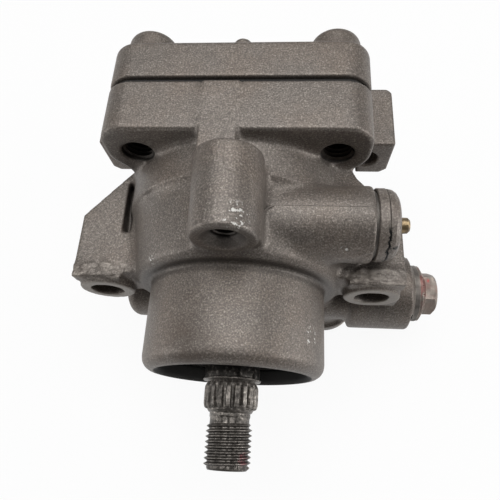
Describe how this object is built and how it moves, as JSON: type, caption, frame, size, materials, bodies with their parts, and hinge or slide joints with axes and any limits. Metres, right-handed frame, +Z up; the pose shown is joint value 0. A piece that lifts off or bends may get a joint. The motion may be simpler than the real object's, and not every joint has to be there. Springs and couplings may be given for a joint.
{
  "type": "power steering pump",
  "caption": "Vane-type power steering pump with a bearing nose, splined and threaded drive shaft, side mounting lugs, flow valve plug, pressure switch and bolted rear cover.",
  "frame": {"origin": "on the drive shaft's axis, in the plane of the two front mounting faces, where the nose meets the barrel", "axes": "+Y along the shaft towards the rear cover, +Z up towards the centre boss, +X towards the valve plug and the pressure switch"},
  "size_m": [0.1246, 0.1329, 0.0969],
  "materials": {
    "casting": "as-cast and sprayed dull grey-brown, grainy",
    "cover_casting": "as-cast and sprayed dull grey-brown, grainy",
    "gasket": "matt black sheet",
    "bolt_steel": "dull dark steel",
    "cam_steel": "ground steel",
    "plate_iron": "machined iron",
    "pin_steel": "ground steel",
    "spring_steel": "spring steel",
    "o_ring_rubber": "black rubber",
    "bush_bronze": "bronze",
    "seal_case_steel": "pressed steel",
    "seal_rubber": "black rubber",
    "ring_steel": "black spring steel",
    "bearing_steel": "ground bearing steel",
    "cage_steel": "pressed steel",
    "shaft_steel": "dark machined steel",
    "vane_steel": "ground steel",
    "plug_steel": "dull dark steel with red paint on its hexagon",
    "washer_metal": "dull soft metal",
    "spool_steel": "ground steel",
    "switch_steel": "sprayed with the housing, grainy",
    "insulator_plastic": "black moulded plastic",
    "terminal_brass": "worn brass",
    "piston_steel": "ground steel"
  },
  "bodies": {
    "housing": {"front_housing": "casting", "rear_cover": "cover_casting", "cover_gasket": "gasket", "cover_bolts": "bolt_steel", "cam_ring": "cam_steel", "front_side_plate": "plate_iron", "rear_side_plate": "plate_iron", "dowel_pins": "pin_steel", "side_plate_spring": "spring_steel", "side_plate_o_ring": "o_ring_rubber", "shaft_o_ring": "o_ring_rubber", "front_bush": "bush_bronze", "rear_bush": "bush_bronze", "seal_case": "seal_case_steel", "shaft_seal": "seal_rubber", "garter_spring": "spring_steel", "bearing_snap_ring": "ring_steel", "bearing_outer_race": "bearing_steel", "bearing_seals": "seal_rubber", "valve_plug": "plug_steel", "valve_plug_washer": "washer_metal", "valve_spring": "spring_steel", "switch_washer": "washer_metal", "switch_body": "switch_steel", "switch_insulator": "insulator_plastic", "switch_terminal": "terminal_brass", "switch_spring": "spring_steel"},
    "shaft": {"drive_shaft": "shaft_steel", "rotor": "cam_steel", "rotor_snap_ring": "ring_steel", "bearing_inner_race": "bearing_steel", "shaft_snap_ring": "ring_steel"},
    "ball_cage": {"bearing_cage": "cage_steel", "bearing_balls": "bearing_steel"},
    "spool": {"flow_spool": "spool_steel", "relief_seat": "spool_steel", "relief_spring": "spring_steel"},
    "relief_valve": {"relief_ball": "spool_steel", "relief_holder": "spool_steel"},
    "switch_piston": {"switch_piston": "piston_steel"},
    "vane_01": {"vane_01": "vane_steel"},
    "vane_02": {"vane_02": "vane_steel"},
    "vane_03": {"vane_03": "vane_steel"},
    "vane_04": {"vane_04": "vane_steel"},
    "vane_05": {"vane_05": "vane_steel"},
    "vane_06": {"vane_06": "vane_steel"},
    "vane_07": {"vane_07": "vane_steel"},
    "vane_08": {"vane_08": "vane_steel"},
    "vane_09": {"vane_09": "vane_steel"},
    "vane_10": {"vane_10": "vane_steel"}
  },
  "joints": [
    {"name": "shaft_spin", "type": "hinge", "parent": "housing", "child": "shaft", "pos_m": [0, 0, 0], "axis": [0, -1, 0], "continuous": true},
    {"name": "ball_cage_spin", "type": "hinge", "parent": "housing", "child": "ball_cage", "pos_m": [0, -0.0124, 0], "axis": [0, -1, 0], "continuous": true},
    {"name": "vane_01_slide", "type": "slide", "parent": "shaft", "child": "vane_01", "axis": [0.9511, 0, 0.309], "range_m": [0, 0.00029]},
    {"name": "vane_02_slide", "type": "slide", "parent": "shaft", "child": "vane_02", "axis": [0.5878, 0, 0.809], "range_m": [0, 0.0018]},
    {"name": "vane_03_slide", "type": "slide", "parent": "shaft", "child": "vane_03", "axis": [0, 0, 1], "range_m": [0, 0.00288]},
    {"name": "vane_04_slide", "type": "slide", "parent": "shaft", "child": "vane_04", "axis": [-0.5878, 0, 0.809], "range_m": [0, 0.0018]},
    {"name": "vane_05_slide", "type": "slide", "parent": "shaft", "child": "vane_05", "axis": [-0.9511, 0, 0.309], "range_m": [0, 0.00029]},
    {"name": "vane_06_slide", "type": "slide", "parent": "shaft", "child": "vane_06", "axis": [-0.9511, 0, -0.309], "range_m": [0, 0.00029]},
    {"name": "vane_07_slide", "type": "slide", "parent": "shaft", "child": "vane_07", "axis": [-0.5878, 0, -0.809], "range_m": [0, 0.0018]},
    {"name": "vane_08_slide", "type": "slide", "parent": "shaft", "child": "vane_08", "axis": [0, 0, -1], "range_m": [0, 0.00288]},
    {"name": "vane_09_slide", "type": "slide", "parent": "shaft", "child": "vane_09", "axis": [0.5878, 0, -0.809], "range_m": [0, 0.0018]},
    {"name": "vane_10_slide", "type": "slide", "parent": "shaft", "child": "vane_10", "axis": [0.9511, 0, -0.309], "range_m": [0, 0.00029]},
    {"name": "spool_slide", "type": "slide", "parent": "housing", "child": "spool", "axis": [1, 0, 0], "range_m": [-0.01, 0], "stiffness_N_per_m": 1500, "springref_m": 0.006, "deforming": ["valve_spring"]},
    {"name": "relief_slide", "type": "slide", "parent": "spool", "child": "relief_valve", "axis": [1, 0, 0], "range_m": [-0.001, 0], "stiffness_N_per_m": 2000, "springref_m": 0.002, "deforming": ["relief_spring"]},
    {"name": "switch_piston_slide", "type": "slide", "parent": "housing", "child": "switch_piston", "axis": [1, 0, 0], "range_m": [0, 0.0006], "stiffness_N_per_m": 2500, "springref_m": -0.001, "deforming": ["switch_spring"]}
  ],
  "couplings": [
    {"joint": "ball_cage_spin", "follows": "shaft_spin", "ratio": 0.36359}
  ]
}
